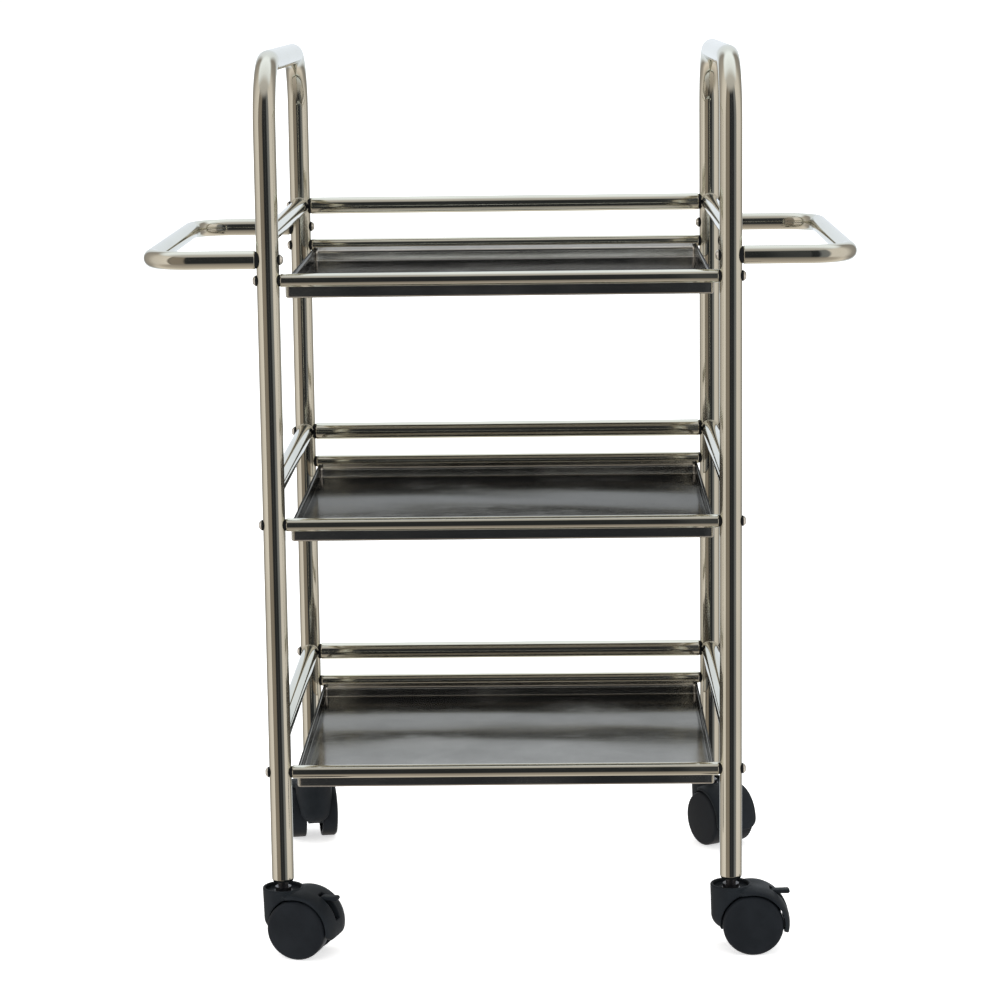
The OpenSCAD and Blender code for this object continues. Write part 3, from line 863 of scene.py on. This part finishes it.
class HousingShape:
    """A caster housing as a field of distances from its skin, negative inside, in its own axes.

    The origin is the swivel's foot, X along the trail, Y along the axle. The neck is a round
    post with a cup on top; the hood is a shell about the axle, cut off at two angles; both
    flow together; two wheel wells, the cup, the bores and the brake's slot are cut out.
    """

    neck_radius = 20.5 * MM
    neck_draft = 0.03
    rim_height = 67.5 * MM
    cup_floor = 63 * MM
    cup_radius = 17.6 * MM
    hood_span = (math.radians(-15), math.radians(116))
    web_span = (math.radians(35), math.radians(195))
    boss_radius = 10 * MM
    lip = 1.6 * MM
    stem_bore = 5.05 * MM
    stem_bore_floor = 30 * MM
    groove_radius, groove_height, groove_half = 6.3 * MM, 37 * MM, 2 * MM
    axle_bore = 3.02 * MM
    pin_bore = 1.52 * MM

    def __init__(self, sizes, braked):
        self.sizes, self.braked = sizes, braked
        self.trail, self.wheel = axle_place()
        self.low, self.high = np.array([-22, -29.5, 15]) * MM, np.array([60, 29.5, 69]) * MM

    def neck(self, x, y, z):
        """Round post: r against its radius, a 14 mm round at the bottom, a 1.6 mm round at the rim."""
        bottom, rim, round_off = 22 * MM, self.rim_height, 14 * MM
        radius = self.neck_radius - self.neck_draft * np.clip(rim - z, 0, None)
        across = np.clip(np.hypot(x, y) - radius + round_off, 0, None)
        down = np.clip(bottom + round_off - z, 0, None)
        return smooth_max(np.hypot(across, down) - round_off, z - rim, 1.6 * MM)

    def cup(self, x, y, z):
        """The cup's hollow, a cylinder with its floor under the stem's collar and a flared mouth."""
        flare = 0.5 * np.clip(z - self.rim_height + 1.2 * MM, 0, None)
        return smooth_max(np.hypot(x, y) - self.cup_radius - flare, self.cup_floor - z, 0.6 * MM)

    def hood(self, y, r, angle):
        """Shell over the wheels: its outer radius falls in an ellipse over each shoulder.

        Its two ends are planes through the axle, rounded off where they meet the sides.
        """
        shoulder, rise = self.sizes.hood_shoulder, self.sizes.hood_rise
        half = wheel_faces(self.sizes)[1] - self.sizes.wheel_dome
        edge = self.wheel + self.sizes.wheel_gap + self.lip
        over = np.clip((np.abs(y) - half + shoulder) / shoulder, 0, 1)
        skin = r - edge - rise * np.sqrt(1 - over**2)
        side = np.abs(y) - half
        front = past(r, angle, self.hood_span[0])
        back = past(r, self.hood_span[1], angle)
        corner = 11 * MM
        ends = np.maximum(front, back)
        rounded = np.hypot(np.clip(ends + corner, 0, None), np.clip(side + corner, 0, None)) - corner
        body = smooth_max(smooth_max(skin, side, 1.2 * MM), rounded, 1.6 * MM)
        return smooth_max(body, edge - self.lip - r, 0.8 * MM)

    def web(self, y, r, angle):
        """Plate between the wheels: a boss round the axle and a sector up to the hood."""
        half = self.sizes.web / 2
        low_cut = past(r, angle, self.web_span[0])
        boss = r - self.boss_radius
        plate = smooth_max(r - self.wheel - self.sizes.wheel_gap - 1 * MM, low_cut, 2 * MM)
        plate = smooth_max(plate, past(r, self.web_span[1], angle), 2 * MM)
        return smooth_max(smooth_min(boss, plate, 3 * MM), np.abs(y) - half, 0.6 * MM)

    def slot(self, y, r, angle):
        """The brake lever's slot through the hood, and its pocket in the web."""
        half, inner = 5.6 * MM, 14 * MM
        first = past(r, angle, math.radians(12))
        last = past(r, math.radians(62), angle)
        pocket_end = past(r, math.radians(80), angle)
        pocket = np.maximum(pocket_end, r - self.wheel - self.sizes.wheel_gap)
        reach = np.minimum(last, pocket)
        return np.maximum.reduce([np.abs(y) - half, first, reach, inner - r])

    def distance(self, points):
        """Distance of each point from the housing's skin, near enough to right close to it."""
        x, y, z = points[..., 0], points[..., 1], points[..., 2]
        dx, dz = x - self.trail, z - self.wheel
        r, angle = np.hypot(dx, dz), np.arctan2(dz, dx)
        angle = np.where(angle < -math.pi / 2, angle + 2 * math.pi, angle)
        well = self.wheel + self.sizes.wheel_gap
        fillet = 0.4 * MM + 0.55 * np.clip(66 * MM - z, 0, 14 * MM)
        solid = smooth_min(self.neck(x, y, z), self.hood(y, r, angle), fillet)
        solid = np.minimum(solid, self.web(y, r, angle))
        wells = smooth_max(r - well, self.sizes.web / 2 - np.abs(y), 0.6 * MM)
        bore = np.maximum(np.hypot(x, y) - self.stem_bore, self.stem_bore_floor - z)
        groove_wall = np.hypot(x, y) - self.groove_radius
        groove = np.maximum(groove_wall, np.abs(z - self.groove_height) - self.groove_half)
        axle = r - self.axle_bore
        solid = smooth_max(solid, -self.cup(x, y, z), 0.9 * MM)
        solid = smooth_max(solid, -wells, 0.7 * MM)
        solid = np.maximum(solid, -np.minimum(np.minimum(bore, groove), axle))
        if self.braked:
            along, up = BRAKE_PIN
            pin = np.hypot(dx - along, dz - up) - self.pin_bore
            solid = smooth_max(solid, -np.minimum(self.slot(y, r, angle), pin), 0.7 * MM)
        return solid


def skin_of(shape, step):
    """Quads over the skin of a distance field: a point in each grid cell that the skin crosses.

    Each point starts at the mean of the cell's edge crossings and is moved along the field's
    slope g by -f g / |g|^2. Each grid edge that the skin crosses gives the quad of its four cells.
    """
    ticks = [np.arange(low, high + step, step) for low, high in zip(shape.low, shape.high)]
    grid = np.stack(np.meshgrid(*ticks, indexing="ij"), -1)
    field = shape.distance(grid)
    inside = field < 0
    cells = tuple(n - 1 for n in field.shape)
    total, count = np.zeros((*cells, 3)), np.zeros(cells)
    quads = []
    for axis in range(3):
        near = tuple(slice(None, -1) if k == axis else slice(None) for k in range(3))
        far = tuple(slice(1, None) if k == axis else slice(None) for k in range(3))
        crossed = inside[near] != inside[far]
        share = field[near] / np.where(crossed, field[near] - field[far], 1)
        place = grid[near] + share[..., None] * (grid[far] - grid[near])
        b, c = (axis + 1) % 3, (axis + 2) % 3
        for db in (0, 1):
            for dc in (0, 1):
                part = [slice(None)] * 3
                part[b] = slice(db, db + cells[b])
                part[c] = slice(dc, dc + cells[c])
                part = tuple(part)
                total += np.where(crossed[part][..., None], place[part], 0)
                count += crossed[part]
        at = np.argwhere(crossed)
        at = at[(at[:, b] > 0) & (at[:, b] < cells[b]) & (at[:, c] > 0) & (at[:, c] < cells[c])]
        corners = np.repeat(at[:, None], 4, axis=1)
        corners[:, (1, 2), b] -= 1
        corners[:, (2, 3), c] -= 1
        quads.append(np.ravel_multi_index(np.moveaxis(corners, -1, 0), cells))
    used = np.flatnonzero(count)
    number = np.zeros(count.size, int)
    number[used] = np.arange(len(used))
    points = total.reshape(-1, 3)[used] / count.reshape(-1, 1)[used]
    nudge = 0.05 * step
    for _ in range(4):
        value = shape.distance(points)
        slope = np.stack([
            shape.distance(points + nudge * axis) - shape.distance(points - nudge * axis)
            for axis in np.eye(3)
        ], -1) / (2 * nudge)
        steepness = np.clip((slope**2).sum(-1), 0.3, None)
        points = points - 0.8 * np.clip(value / steepness, -step / 2, step / 2)[:, None] * slope
    quads = number[np.concatenate(quads)]
    return points, quads, np.zeros((quads.size, 2))


class TROLLEY_OT_caster_housings(bpy.types.Operator):
    """Makes the four caster housings: neck, cup, hood and web in one moulding"""

    bl_idname = "trolley.caster_housings"
    bl_label = "Caster Housings"

    def execute(self, context):
        sizes = context.scene.trolley_sizes
        step = 0.8 * MM
        skins = {braked: skin_of(HousingShape(sizes, braked), step) for braked in (True, False)}
        for corner, (foot, axes) in caster_places().items():
            name = f"{corner}_caster_housing"
            shell = moved(skins[corner in BRAKED], axes, foot)
            make_piece(f"{name}_moulded", [shell], f"{corner}_caster", "caster_plastic", [name], sharp=60)
        return {"FINISHED"}


def wheel_faces(sizes):
    """Distances of a wheel's inner and outer face from its caster's middle."""
    inner = sizes.web / 2 + 0.6 * MM
    return inner, inner + 19 * MM


def wheel_profile(radius, inner, outer, edge, dome):
    """A wheel's closed section as (r, y) pairs, y along the axle away from the housing.

    A hub on the axle, a hollow behind the face, a tread with rounded edges and a face that
    rises gently to the middle.
    """
    hub, tread, face, bore, bore_end = 8 * MM, 4.5 * MM, 5 * MM, 3.05 * MM, 4.1 * MM
    face_edge = outer - dome
    rows = [
        [(bore, inner), (hub - 0.5 * MM, inner), (hub, inner + 0.5 * MM), (hub, outer - face - 1 * MM)],
        [(hub + 1 * MM, outer - face), (radius - tread - 1 * MM, outer - face)],
        [(radius - tread, outer - face - 1 * MM), (radius - tread, inner + 0.4 * MM)],
        [(radius - tread + 0.4 * MM, inner)],
        arc((radius - 1.2 * MM, inner + 1.2 * MM), 1.2 * MM, -90, 0, 5),
        arc((radius - edge, face_edge - edge), edge, 0, 84, 12),
    ]
    rim = rows[-1][-1]
    across = np.linspace(rim[0], 0, 12)[1:]
    rise = (outer - rim[1]) * (1 - (across / rim[0]) ** 2)
    rows.append(np.stack([across, rim[1] + rise], -1))
    rows.append([(0, outer - bore_end), (bore, outer - bore_end)])
    return np.concatenate(rows)


class TROLLEY_OT_wheels(bpy.types.Operator):
    """Makes the eight wheels, each turning on its caster's axle"""

    bl_idname = "trolley.wheels"
    bl_label = "Wheels"

    def execute(self, context):
        sizes = context.scene.trolley_sizes
        trail, height = axle_place()
        section = wheel_profile(height, *wheel_faces(sizes), sizes.wheel_edge, sizes.wheel_dome)
        shell = turned(section, around=112)
        for corner, (foot, axes) in caster_places().items():
            for side, s in (("left", 1), ("right", -1)):
                name = f"{corner}_caster_{side}_wheel"
                across = (s * axes[1], axes[0], axes[2])
                place = foot + trail * axes[0] + height * Z
                body = f"{corner}_{side}_wheel"
                make_piece(f"{name}_moulded", [moved(shell, across, place)], body, "wheel_plastic", [name])
        return {"FINISHED"}


def lever(trail, height):
    """A brake lever in a caster's own axes: a rounded bar carried along its bent centre line.

    The section is the superellipse |y/w|^n + |v/h|^n = 1. The half thickness h(s) follows a
    round hub about the pin, thins into the arm, swells to the toe and closes at both ends.
    """
    hub, arm, waist, toe, width, bend = 4.2 * MM, 2.6 * MM, 1.9 * MM, 2.3 * MM, 5 * MM, 5 * MM
    pin = np.array([trail + BRAKE_PIN[0], height + BRAKE_PIN[1]])
    knee = pin + np.array([9, 9.3]) * MM
    rise = math.atan2(*(knee - pin)[::-1])
    cut = bend * math.tan(rise / 2)
    lengths = [hub + float(np.linalg.norm(knee - pin)) - cut, bend * rise, 14 * MM + toe - cut]
    turns = [0, -rise, 0]
    total = sum(lengths)
    ease = (1 - np.cos(np.linspace(0, math.pi, 61))) / 2
    s = total * ease
    plain = np.interp(s, [0, 2.4 * hub, 0.6 * total, total], [arm, arm, waist, toe])
    round_hub = np.sqrt(np.clip(hub**2 - (s - hub) ** 2, 0, None))
    tip = np.sqrt(np.clip(1 - (np.clip(s - total + toe, 0, None) / toe) ** 2, 0, 1))
    h = np.where(s < hub, round_hub, np.maximum(round_hub, plain)) * tip
    w = width * np.interp(s, [total - 3 * MM, total - 1 * MM, total], [1, 0.93, 0.8])
    point, turn = bent_path(lengths, turns, rise, s)
    point = point + pin - hub * np.array([math.cos(rise), math.sin(rise)])
    a = np.linspace(0, 2 * math.pi, 48, endpoint=False)
    corner = 2 / 5
    across = np.sign(np.cos(a)) * np.abs(np.cos(a)) ** corner
    up = np.sign(np.sin(a)) * np.abs(np.sin(a)) ** corner
    v = h[:, None] * up
    points = np.stack([
        point[:, :1] - np.sin(turn)[:, None] * v,
        w[:, None] * across,
        point[:, 1:] + np.cos(turn)[:, None] * v,
    ], -1)
    points[0, :, 1] = points[-1, :, 1] = 0
    return patch(points, s, width * np.append(a, 2 * math.pi))


class TROLLEY_OT_brake_levers(bpy.types.Operator):
    """Makes the toe levers of the two front casters' brakes"""

    bl_idname = "trolley.brake_levers"
    bl_label = "Brake Levers"

    def execute(self, context):
        shell = lever(*axle_place())
        places = caster_places()
        for corner in BRAKED:
            foot, axes = places[corner]
            name = f"{corner}_brake_lever"
            placed = moved(shell, axes, foot)
            make_piece(f"{name}_moulded", [placed], f"{corner}_brake", "caster_plastic", [name])
        return {"FINISHED"}


# ---------------------------------------------------------------- stage


def studio_floor(colours):
    """A white matt floor with a very faint mottle, which glows a little so that shadows stay light."""
    finish = Finish("studio_floor")
    mottle = finish.noise(finish.place(), 3.0, 4.0)
    finish.tint(mottle, shade(colours.floor, 0.985), shade(colours.floor, 1.0))
    finish.set(Roughness=0.9, Specular_IOR_Level=0.0, Emission_Color=(1, 1, 1, 1), Emission_Strength=0.6)
    return finish.material


def soft_room():
    """The room that reflections see, by direction. The camera and soft light see plain white.

    Near the horizon the light depends on the bearing from the front, positive to the right:
    a dark window in front, dimmer sides to it, warm walls and a cool rear. Elsewhere it
    depends on the angle over the top: warm floor, grey front wall, cool ceiling and rear.
    """
    world = bpy.data.worlds.new("soft_room")
    wires = Wiring(world)
    nodes, links = wires.nodes, wires.links
    axes = nodes.new("ShaderNodeSeparateXYZ")
    links.new(nodes.new("ShaderNodeTexCoord").outputs["Generated"], axes.inputs["Vector"])
    x, y, z = axes.outputs

    def light(angle, stops):
        """Colours by angle: each stop is an angle in degrees, a level and a coolness, warm below 0."""
        ramp = nodes.new("ShaderNodeValToRGB")
        turn = wires.math("DIVIDE", angle, 2 * math.pi)
        links.new(wires.math("ADD", turn, 0.5), ramp.inputs["Fac"])
        elements = ramp.color_ramp.elements
        elements.remove(elements[0])
        for number, (degrees, level, cool) in enumerate(stops):
            element = elements[0] if number == 0 else elements.new(degrees / 360 + 0.5)
            element.position = degrees / 360 + 0.5
            element.color = (level * (1 - COOLNESS * cool), level, level * (1 + COOLNESS * cool), 1)
        return ramp.outputs["Color"]

    ahead = wires.math("MULTIPLY", y, -1.0)
    bearing = wires.math("ARCTAN2", x, ahead)
    over = wires.math("ARCTAN2", z, ahead)
    around = light(bearing, (
        (-180, 0.66, 0.6), (-160, 0.62, 0.5), (-148, 0.20, -1.0), (-122, 0.26, -1.2), (-100, 0.42, -1.0),
        (-60, 0.50, -1.0), (-55, 0.12, -1.4), (-48, 0.15, -2.0), (-20, 0.14, -2.0), (-14, 0.02, 0.3),
        (3, 0.016, 0.8), (6, 0.045, 0.3), (10, 0.016, 0.8), (25, 0.02, 1.0), (33, 0.12, 0.3),
        (50, 0.14, 0.0), (57, 0.46, -0.9), (100, 0.44, -0.9), (124, 0.22, -1.0), (148, 0.18, -1.0),
        (160, 0.62, 0.5), (180, 0.66, 0.6),
    ))
    vertical = light(over, (
        (-180, 0.50, -0.5), (-126, 0.50, -1.2), (-96, 0.30, -1.4), (-62, 0.22, -1.6), (-44, 0.16, -1.4),
        (36, 0.15, -0.6), (50, 0.30, -0.6), (74, 0.36, -0.5), (90, 0.60, 0.4), (122, 0.76, 0.6),
        (180, 0.76, 0.6),
    ))
    foot, sill, head, ceiling = (math.sin(math.radians(angle)) for angle in (-48, -26, 40, 56))
    low_edge = wires.remap(z, foot, sill, 0.0, 1.0)
    high_edge = wires.remap(z, head, ceiling, 1.0, 0.0)
    room = nodes.new("ShaderNodeMix")
    room.data_type = "RGBA"
    links.new(wires.math("MULTIPLY", low_edge, high_edge), room.inputs["Factor"])
    links.new(vertical, room.inputs[6])
    links.new(around, room.inputs[7])
    reflected = nodes["Background"]
    reflected.inputs["Strength"].default_value = 1.5
    links.new(room.outputs[2], reflected.inputs["Color"])
    plain = nodes.new("ShaderNodeBackground")
    plain.inputs["Color"].default_value = (1.0, 1.0, 1.0, 1.0)
    plain.inputs["Strength"].default_value = 1.05
    chosen = nodes.new("ShaderNodeMixShader")
    links.new(nodes.new("ShaderNodeLightPath").outputs["Is Glossy Ray"], chosen.inputs["Fac"])
    links.new(plain.outputs["Background"], chosen.inputs[1])
    links.new(reflected.outputs["Background"], chosen.inputs[2])
    links.new(chosen.outputs["Shader"], nodes["World Output"].inputs["Surface"])
    return world


def softbox(name, place, aim, width, height, watts):
    """A rectangular lamp at place that faces aim. It lights surfaces but isn't seen in reflections."""
    lamp = bpy.data.lights.new(name, "AREA")
    lamp.shape = "RECTANGLE"
    lamp.size, lamp.size_y, lamp.energy = width, height, watts
    box = bpy.data.objects.new(name, lamp)
    back = np.array(place, float) - aim
    side = np.cross(Y, back) if abs(back[1]) < abs(back[2]) else np.cross(Z, back)
    axes = np.array([side, np.cross(back, side), back])
    axes /= np.linalg.norm(axes, axis=1)[:, None]
    matrix = np.eye(4)
    matrix[:3, :3], matrix[:3, 3] = axes.T, place
    box.matrix_world = Matrix(matrix.tolist())
    box.visible_glossy = False
    bpy.context.scene.collection.objects.link(box)


class TROLLEY_OT_stage(bpy.types.Operator):
    """Makes the floor, which reflections don't see, the soft light and the camera"""

    bl_idname = "trolley.stage"
    bl_label = "Stage"

    def execute(self, context):
        scene = context.scene
        floor_mesh = bpy.data.meshes.new("studio_floor")
        reach = 150.0
        corners = [(-reach, -reach, 0), (reach, -reach, 0), (reach, reach, 0), (-reach, reach, 0)]
        floor_mesh.from_pydata(corners, [], [(0, 1, 2, 3)])
        floor_mesh.materials.append(studio_floor(scene.trolley_colours))
        floor = bpy.data.objects.new("studio_floor", floor_mesh)
        scene.collection.objects.link(floor)
        floor.visible_glossy = False

        scene.world = soft_room()
        middle = np.array([0, 0, 0.45])
        softbox("overhead_softbox", (0.0, 0.2, 2.6), middle, 2.2, 1.4, 16)

        yaw, pitch, roll = (math.radians(angle) for angle in (1.02, -9.68, 0.725))
        lens = bpy.data.cameras.new("camera")
        lens.lens, lens.sensor_width = 110.3, 36.0
        lens.clip_end = 2 * reach
        camera = bpy.data.objects.new("camera", lens)
        turn = Matrix.Rotation(yaw, 4, "Z") @ Matrix.Rotation(pitch + math.pi / 2, 4, "X")
        camera.matrix_world = (
            Matrix.Translation((0.0504, -3.1385, 0.9565)) @ turn @ Matrix.Rotation(-roll, 4, "Z")
        )
        scene.collection.objects.link(camera)
        scene.camera = camera
        scene.view_settings.view_transform = "Standard"
        return {"FINISHED"}


# ---------------------------------------------------------------- add-on


class TROLLEY_PT_panel(bpy.types.Panel):
    """Lists the steps that build the trolley and their settings"""

    bl_idname = "TROLLEY_PT_panel"
    bl_label = "Rolling Salon Trolley"
    bl_space_type = "VIEW_3D"
    bl_region_type = "UI"
    bl_category = "Trolley"

    def draw(self, context):
        column = self.layout.column()
        for step in STEPS:
            column.operator(step.bl_idname)
        for group in (context.scene.trolley_sizes, context.scene.trolley_colours):
            settings = self.layout.column()
            for name in group.bl_rna.properties.keys():
                if name not in ("rna_type", "name"):
                    settings.prop(group, name)


STEPS = (
    TROLLEY_OT_materials,
    TROLLEY_OT_end_frames,
    TROLLEY_OT_side_rails,
    TROLLEY_OT_cross_rails,
    TROLLEY_OT_trays,
    TROLLEY_OT_handles,
    TROLLEY_OT_screws,
    TROLLEY_OT_saddles,
    TROLLEY_OT_hidden_hardware,
    TROLLEY_OT_caster_housings,
    TROLLEY_OT_wheels,
    TROLLEY_OT_brake_levers,
    TROLLEY_OT_stage,
)
CLASSES = (TrolleySizes, TrolleyColours, *STEPS, TROLLEY_PT_panel)


def register():
    """Registers the classes and hangs the settings on the scene."""
    for cls in CLASSES:
        bpy.utils.register_class(cls)
    bpy.types.Scene.trolley_sizes = bpy.props.PointerProperty(type=TrolleySizes)
    bpy.types.Scene.trolley_colours = bpy.props.PointerProperty(type=TrolleyColours)


def unregister():
    """Undoes register."""
    del bpy.types.Scene.trolley_colours
    del bpy.types.Scene.trolley_sizes
    for cls in reversed(CLASSES):
        bpy.utils.unregister_class(cls)


def main():
    register()
    bpy.ops.trolley.materials()
    bpy.ops.trolley.end_frames()
    bpy.ops.trolley.side_rails()
    bpy.ops.trolley.cross_rails()
    bpy.ops.trolley.trays()
    bpy.ops.trolley.handles()
    bpy.ops.trolley.screws()
    bpy.ops.trolley.saddles()
    bpy.ops.trolley.hidden_hardware()
    bpy.ops.trolley.caster_housings()
    bpy.ops.trolley.wheels()
    bpy.ops.trolley.brake_levers()
    bpy.ops.trolley.stage()


if __name__ == "__main__":
    main()
